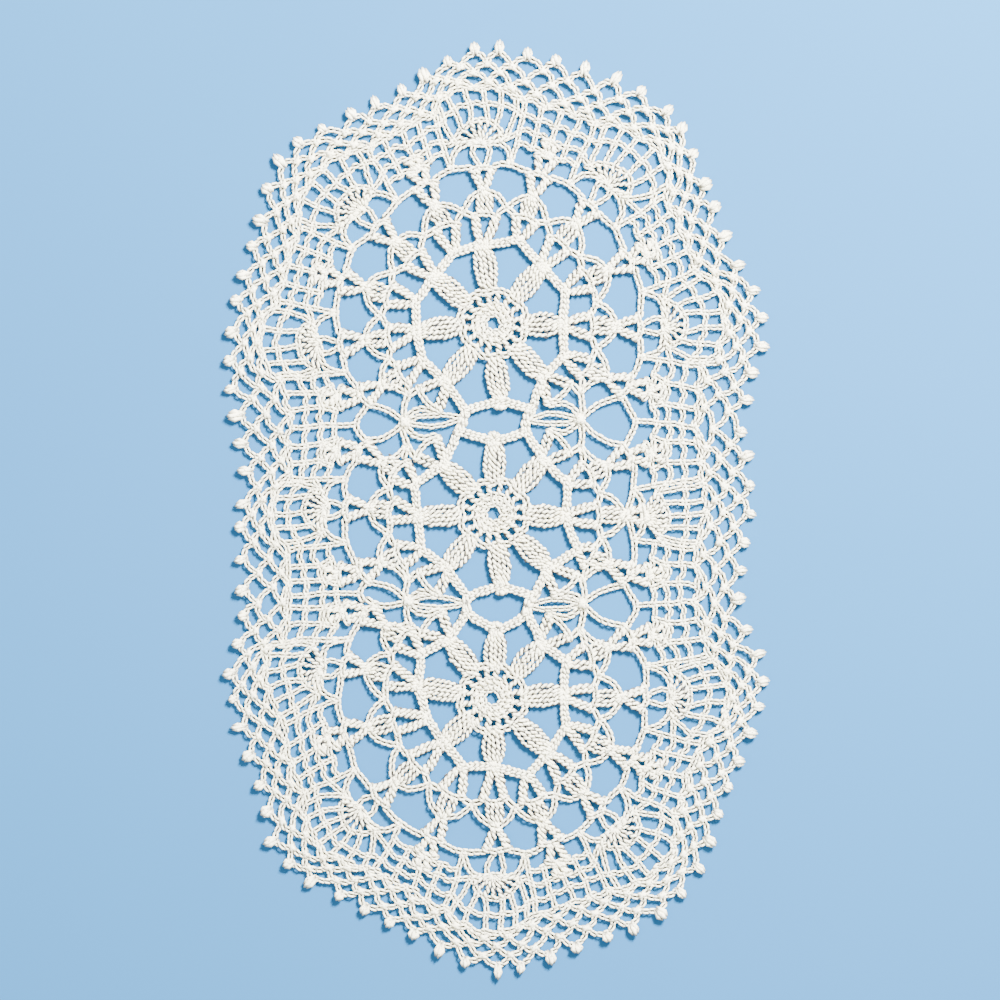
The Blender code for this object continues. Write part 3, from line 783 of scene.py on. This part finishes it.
@dataclass(frozen=True)
class Value:
    """A number that a tree works out in a node's output, which can be used in plain expressions."""

    nodes: "Nodes"
    socket: bpy.types.NodeSocket

    def _math(self, operation: str, first: object, second: object) -> "Value":
        """A Math node on two values."""
        return self.nodes.add("ShaderNodeMath", {0: first, 1: second}, operation=operation)

    def __add__(self, other: object) -> "Value":
        """Sum."""
        return self._math("ADD", self, other)

    def __sub__(self, other: object) -> "Value":
        """Difference."""
        return self._math("SUBTRACT", self, other)

    def __rsub__(self, other: object) -> "Value":
        """Difference from a number."""
        return self._math("SUBTRACT", other, self)

    def __mul__(self, other: object) -> "Value":
        """Product."""
        return self._math("MULTIPLY", self, other)

    def __truediv__(self, other: object) -> "Value":
        """Quotient."""
        return self._math("DIVIDE", self, other)

    def __rtruediv__(self, other: object) -> "Value":
        """Quotient of a number."""
        return self._math("DIVIDE", other, self)

    __radd__ = __add__
    __rmul__ = __mul__


@dataclass(frozen=True)
class Nodes:
    """Maker of the nodes of one tree."""

    tree: NodeTree

    def add(self, kind: str, inputs: dict | None = None, output: int | str = 0,
            **settings: object) -> Value:
        """Add one node.

        Args:
            kind: the node's type.
            inputs: numbers, colours or values for its sockets, by name or number.
            output: name or number of the output that is wanted.
            settings: its own settings, which are made before its sockets are fed.

        Returns:
            That output.
        """
        node = self.tree.nodes.new(kind)
        for name, setting in settings.items():
            setattr(node, name, setting)
        self.feed(node, inputs or {})
        return Value(self, node.outputs[output])

    def feed(self, node: bpy.types.Node, inputs: dict) -> None:
        """Feed a node's sockets.

        Args:
            node: the node.
            inputs: numbers, colours or values for its sockets, by name or number.
        """
        for name, given in inputs.items():
            if isinstance(given, Value):
                self.tree.links.new(given.socket, node.inputs[name])
            else:
                node.inputs[name].default_value = given


@dataclass(frozen=True)
class CottonFinish:
    """Matte cream crochet cotton with the fine twist of its plies, and painted shade of dark warm brown in
    its hollows.
    """

    name: str = "Cream_cotton"
    light: Numbers = (0.95, 0.925, 0.76, 1.0)
    warm: Numbers = (0.93, 0.855, 0.57, 1.0)
    # painted shade: the dark colour that hollows, leg ends and specks between the plies are painted towards
    painted_shade: Numbers = (0.022, 0.017, 0.014, 1.0)
    roughness: float = 0.82
    shine: float = 0.25
    sheen: float = 0.25
    twist_depth: float = 0.25
    patch_scale: float = 60.0
    speck_scale: float = 1500.0
    # painted shade: strength and threshold of the dark specks painted between the plies
    speck_shade_strength: float = 9.0
    speck_shade_start: float = 0.58

    def build(self) -> Material:
        """Make the material, which reads places on the cloth and along the yarn.

        Returns:
            The material.
        """
        material = bpy.data.materials.new(self.name)
        material.use_nodes = True
        nodes = Nodes(material.node_tree)
        add = nodes.add
        place = add("ShaderNodeTexCoord", output="Object")
        patches, specks = (
            add("ShaderNodeTexNoise", {"Vector": place, "Scale": scale, "Detail": detail})
            for scale, detail in ((self.patch_scale, 3.0), (self.speck_scale, 2.0)))
        # painted shade: the shade UV layer holds each ring's painted lightness
        layer = add("ShaderNodeUVMap", uv_map="shade")
        painted_lightness = add("ShaderNodeSeparateXYZ", {"Vector": layer}, "X")
        tone = add("ShaderNodeMix", {
            "Factor": patches * 0.8 + specks * 0.2, "A": self.light, "B": self.warm
        }, "Result", data_type="RGBA")
        # painted shade: dark specks for the shade in the gaps between the plies
        painted_gap_shade = add("ShaderNodeMath", {
            0: (specks - self.speck_shade_start) * self.speck_shade_strength, 1: 0.0}, operation="MAXIMUM")
        # painted shade: the colour falls towards painted_shade by each ring's painted lightness and in the
        # dark specks
        colour = add("ShaderNodeMix", {
            "Factor": painted_lightness * (1.0 - painted_gap_shade), "A": self.painted_shade, "B": tone}, "Result", data_type="RGBA")
        yarn = add("ShaderNodeUVMap", uv_map="yarn")
        along, about = (add("ShaderNodeSeparateXYZ", {"Vector": yarn}, axis) for axis in "XY")
        plies = add("ShaderNodeMath", {0: (along + about * 2.0) * math.tau}, operation="SINE")
        relief = plies * 0.6 + specks * 0.8
        bump = add("ShaderNodeBump", {
            "Height": relief, "Distance": 0.06 * MM, "Strength": self.twist_depth}, "Normal")
        nodes.feed(nodes.tree.nodes["Principled BSDF"], {
            "Base Color": colour, "Roughness": self.roughness, "Normal": bump,
            "Specular IOR Level": self.shine, "Sheen Weight": self.sheen, "Sheen Roughness": 0.6})
        return material


@dataclass(frozen=True)
class FloorFinish:
    """Plain pale floor with a faint even grain."""

    name: str = "Pale_floor"
    colour: Numbers = (0.012, 0.118, 0.275, 1.0)
    shade: Numbers = (0.010, 0.108, 0.260, 1.0)

    def build(self) -> Material:
        """Make the material.

        Returns:
            The material.
        """
        material = bpy.data.materials.new(self.name)
        material.use_nodes = True
        nodes = Nodes(material.node_tree)
        place = nodes.add("ShaderNodeTexCoord", output="Object")
        grain = nodes.add("ShaderNodeTexNoise", {"Vector": place, "Scale": 6.0, "Detail": 2.0})
        colour = nodes.add("ShaderNodeMix", {
            "Factor": grain, "A": self.colour, "B": self.shade}, "Result", data_type="RGBA")
        nodes.feed(nodes.tree.nodes["Principled BSDF"], {"Base Color": colour, "Roughness": 0.9})
        return material


class StitchTree:
    """Geometry Nodes that lay one stitch after another along every strand of a piece."""

    def __init__(self) -> None:
        """Build the tree with its named inputs."""
        self.tree = bpy.data.node_groups.new("Lay_stitches", "GeometryNodeTree")
        kinds = {"Geometry": "Geometry", "Stitch": "Object", "Pitch": "Float", "Sway": "Float",
                 "Seed": "Int", "Yarn": "Material"}
        face = self.tree.interface
        self.sockets = {
            name: face.new_socket(name, in_out="INPUT", socket_type=f"NodeSocket{kind}").identifier
            for name, kind in kinds.items()}
        face.new_socket("Geometry", in_out="OUTPUT", socket_type="NodeSocketGeometry")
        add = Nodes(self.tree).add
        strands, stitch, pitch, sway, seed, yarn = (
            add("NodeGroupInput", output=name) for name in self.sockets)
        even = add("GeometryNodeResampleCurve", {"Curve": strands, "Length": pitch}, mode="LENGTH")
        last = add("GeometryNodeCurveEndpointSelection", {"Start Size": 0, "End Size": 1})
        others = add("FunctionNodeBooleanMath", {0: last}, operation="NOT")
        tangent = add("GeometryNodeInputTangent")
        facing = add("FunctionNodeAxesToRotation", {
            "Primary Axis": tangent, "Secondary Axis": (0.0, 0.0, 1.0)},
            primary_axis="X", secondary_axis="Z")
        low, high = (add("ShaderNodeVectorMath", {
            0: (sign, 0.3 * sign, 0.4 * sign), "Scale": sway}, operation="SCALE") for sign in (-1.0, 1.0))
        lean = add("FunctionNodeRandomValue", {
            "Min": low, "Max": high, "Seed": seed}, data_type="FLOAT_VECTOR")
        turned = add("FunctionNodeRotateRotation", {
            "Rotation": facing, "Rotate By": lean}, rotation_space="LOCAL")
        length, count = (add("GeometryNodeSplineLength", output=name) for name in ("Length", "Point Count"))
        radius = add("GeometryNodeInputRadius")
        fuller = add("FunctionNodeRandomValue", {2: 0.93, 3: 1.08, "Seed": seed}, 1, data_type="FLOAT")
        size = add("ShaderNodeCombineXYZ", {
            "X": length / (count - 1.0), "Y": radius * fuller, "Z": radius * fuller})
        shape = add("GeometryNodeObjectInfo", {"Object": stitch}, "Geometry")
        laid = add("GeometryNodeInstanceOnPoints", {
            "Points": even, "Selection": others, "Instance": shape, "Rotation": turned, "Scale": size})
        real = add("GeometryNodeRealizeInstances", {"Geometry": laid})
        dressed = add("GeometryNodeSetMaterial", {"Geometry": real, "Material": yarn})
        result = self.tree.nodes.new("NodeGroupOutput")
        self.tree.links.new(dressed.socket, result.inputs[0])

    def bake(self, curve: Object, given: dict) -> Mesh:
        """Lay a stitch along a curve object's splines and keep the plain mesh.

        Args:
            curve: the strands, whose points' radii are the half widths.
            given: the tree's inputs, by name.

        Returns:
            The mesh of all the stitches.
        """
        modifier = curve.modifiers.new("Stitches", "NODES")
        modifier.node_group = self.tree
        for name, setting in given.items():
            modifier[self.sockets[name]] = setting
        bpy.context.view_layer.update()
        evaluated = curve.evaluated_get(bpy.context.evaluated_depsgraph_get())
        mesh = bpy.data.meshes.new_from_object(evaluated)
        bpy.data.objects.remove(curve)
        return mesh


@dataclass
class Cloth:
    """The whole doily: its wheels, stations, fans, columns and net, and the pieces that it is made as."""

    yarn: Material
    drift: float = 0.5
    joint_rise: float = 1.6
    wide_joint_rise: float = 4.0

    def __post_init__(self) -> None:
        """Chart the wheels and the stations, and make one of each stitch."""
        self.tree = StitchTree()
        self.stitches = {stitch: SHAPES[stitch].build(stitch.value) for stitch in Stitch}
        self.wheels = {name: Wheel(name) for name in WHEELS}
        self.stations = [Station(self.wheels[name], *row) for name, rows in STATIONS for row in rows]
        self.place_joints()

    def place_joints(self) -> None:
        """Place the joint and the spine that part each station from the next."""
        inner = [mix(station.top, station.edge, NET_SHARE) for station in self.stations]
        for number, (station, after) in enumerate(around(self.stations)):
            outward = unit(station.heading + after.heading)
            rise = self.joint_rise if station.wheel is after.wheel else self.wide_joint_rise
            station.joint = mix(station.left, after.right, 0.5) + outward * rise
            push = (after.kind is COLUMN) - (station.kind is COLUMN)
            station.turn = number + 0.5 + FAN_TURN * push
            end = closed_curve(inner, station.turn)
            station.spine = [mix(station.joint, end, share) for share in SPINE_SHARES]
        for station, after in around(self.stations):
            after.last_turn = station.turn - (len(self.stations) if after is self.stations[0] else 0)

    def arches(self) -> Strands:
        """Work the arches and junctions between the wheels and the border.

        Returns:
            Their strands.
        """
        strands = []
        for station, after in around(self.stations):
            if station.wheel is after.wheel:
                halfway = station.angle + ((after.angle - station.angle) % 360) / 2
                reach = min(mix(station.shell_reach, after.shell_reach, 0.5) + CROSS_RISE, CROSS_REACH)
                reach += 0.6 * (station.above + after.above)
                cross = station.wheel.centre + polar(halfway, reach)
                strands += station.arches(cross, 0.13) + after.arches(cross, -0.13)
            else:
                upper, lower = sorted((station, after), key=lambda one: -one.shell.imag)
                strands += Junction(upper, lower).strands()
            strands.append(chain([station.left, station.joint, after.right]))
        return strands

    def border(self) -> tuple[Strands, Strands, list[tuple]]:
        """Fans and columns.

        Returns:
            The fans' strands, the columns' strands and the row that the net begins from.
        """
        fans, columns, row = [], [], []
        for number, station in enumerate(self.stations):
            before = self.stations[number - 1]
            if station.kind is COLUMN:
                strands, outer = Column(station, before).work()
                columns += strands
            else:
                strands, outer = Fan(station, before, number).work()
                fans += strands
            columns.append(chain([station.joint, *station.spine], THIN))
            row += outer + [(station.turn, station.spine[3])]
        return fans, columns, row

    def laid(self, place: complex) -> complex:
        """Lay a place of the chart on the floor, the border less evenly than the wheels.

        Args:
            place: the place on the chart.

        Returns:
            The place on the floor.
        """
        across, along = (uneven(place, 9.0, layer) + uneven(place, 33.0, layer + 9.0)
                         for layer in (4.4, 25.3))
        reach = min(abs(place - centre) for centre in WHEELS.values())
        drift = self.drift * mix(1.0, 3.2, min(max(reach / 40 - 1.25, 0.0), 1.0))
        return place - MIDDLE_OF_CHART + drift * complex(across, along)

    def lift(self, place: complex) -> float:
        """How far the cloth rises over the floor here, in millimetres."""
        return 0.4 + 0.3 * uneven(place, 14.0, 0.6)

    def make(self, name: str, strands: Strands) -> Object:
        """Make one piece from its strands.

        Args:
            name: the piece's name.
            strands: everything that it is worked from.

        Returns:
            The piece, as one mesh at the origin.
        """
        work = bmesh.new()
        for number, stitch in enumerate(Stitch):
            own = [strand for strand in strands if strand.stitch is stitch]
            if not own:
                continue
            long = stitch not in (Stitch.JOINT, Stitch.PICOT)
            curve = bpy.data.curves.new(name, "CURVE")
            curve.dimensions = "3D"
            for strand in own:
                places = smoothed(strand.places) if long else strand.places
                spline = curve.splines.new("POLY")
                spline.points.add(len(places) - 1)
                for step, (point, place) in enumerate(zip(spline.points, places)):
                    spot = self.laid(place)
                    height = strand.height + self.lift(place)
                    point.co = (spot.real * MM, spot.imag * MM, height * MM, 1.0)
                    point.radius = strand.half_at(step / (len(places) - 1)) * MM
            shape = SHAPES[stitch]
            mesh = self.tree.bake(linked(name, curve), {
                "Stitch": self.stitches[stitch], "Pitch": (shape.pitch if long else SINGLE_PITCH) * MM,
                "Sway": shape.sway, "Seed": number + len(strands), "Yarn": self.yarn})
            work.from_mesh(mesh)
            bpy.data.meshes.remove(mesh)
        mesh = bpy.data.meshes.new(name)
        work.to_mesh(mesh)
        work.free()
        mesh.materials.append(self.yarn)
        log.info("%s: %d strands, %d triangles", name, len(strands),
                 sum(len(face.vertices) - 2 for face in mesh.polygons))
        return linked(name, mesh)

    def dress(self) -> list[Object]:
        """Make all the pieces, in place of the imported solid.

        Returns:
            Arches, shells, wheels, fans, columns and net, in that order.
        """
        fans, columns, row = self.border()
        start, net = Net(self.stations, row).work()
        plan = {
            "lace_arches": self.arches(),
            "lace_shells": [strand for station in self.stations for strand in station.stack()],
            "lace_wheels": [strand for wheel in self.wheels.values() for strand in wheel.strands()],
            "lace_fans": fans,
            "lace_columns": [*columns, start],
            "lace_net": net,
        }
        pieces = [self.make(name, strands) for name, strands in plan.items()]
        for stitch in self.stitches.values():
            bpy.data.objects.remove(stitch)
        return pieces


@dataclass(frozen=True)
class Studio:
    """Pale floor, soft light from the upper right and a camera straight above."""

    view_height: float = 1.3
    view_width: float = 0.4
    view_middle: tuple[float, float] = (0.0014, 0.0031)

    def floor(self) -> None:
        """Lay the floor under the cloth."""
        mesh = bpy.data.meshes.new("floor")
        work = bmesh.new()
        bmesh.ops.create_grid(work, x_segments=8, y_segments=8, size=1.5)
        bmesh.ops.translate(work, vec=(0.0, 0.0, -0.0001), verts=work.verts)
        work.to_mesh(mesh)
        work.free()
        mesh.materials.append(FloorFinish().build())
        floor = linked("floor", mesh)

    def lamp(self, name: str, place: tuple[float, float, float], size: float, power: float) -> None:
        """Hang a soft square lamp that points at the cloth.

        Args:
            name: the lamp's name.
            place: where it hangs.
            size: length of its sides in metres.
            power: its power in watts.
        """
        data = bpy.data.lights.new(name, "AREA")
        data.size = size
        data.energy = power
        lamp = linked(name, data)
        lamp.location = place
        lamp.rotation_euler = Vector(place).to_track_quat("Z", "Y").to_euler()

    def light(self) -> None:
        """Key lamp, fill lamp and even surroundings."""
        self.lamp("key", (0.55, 0.75, 0.95), 0.3, 195.0)
        self.lamp("fill", (-0.6, -0.3, 1.1), 1.2, 12.0)
        world = bpy.data.worlds.new("studio")
        bpy.context.scene.world = world
        world.use_nodes = True
        Nodes(world.node_tree).feed(world.node_tree.nodes["Background"], {
            "Color": (0.93, 0.97, 1.0, 1.0), "Strength": 0.95})

    def camera(self) -> None:
        """Point the camera straight down."""
        data = bpy.data.cameras.new("camera")
        data.lens = data.sensor_width * self.view_height / self.view_width
        camera = linked("camera", data)
        camera.location = (*self.view_middle, self.view_height)
        bpy.context.scene.camera = camera

    def build(self) -> None:
        """Set up everything round the cloth."""
        self.camera()
        self.floor()
        self.light()


def declare(pieces: list[Object]) -> None:
    """Args:
        pieces: all the pieces, of which the last is the net.
    """
    for piece in pieces:
        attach(piece, "root")
        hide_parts("doily")


def main() -> None:
    """Load the frame, set up the studio and make the doily."""
    logging.basicConfig(level=logging.INFO, format="%(name)s: %(message)s")
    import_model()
    Studio().build()
    declare(Cloth(CottonFinish().build()).dress())


if __name__ == "__main__":
    main()
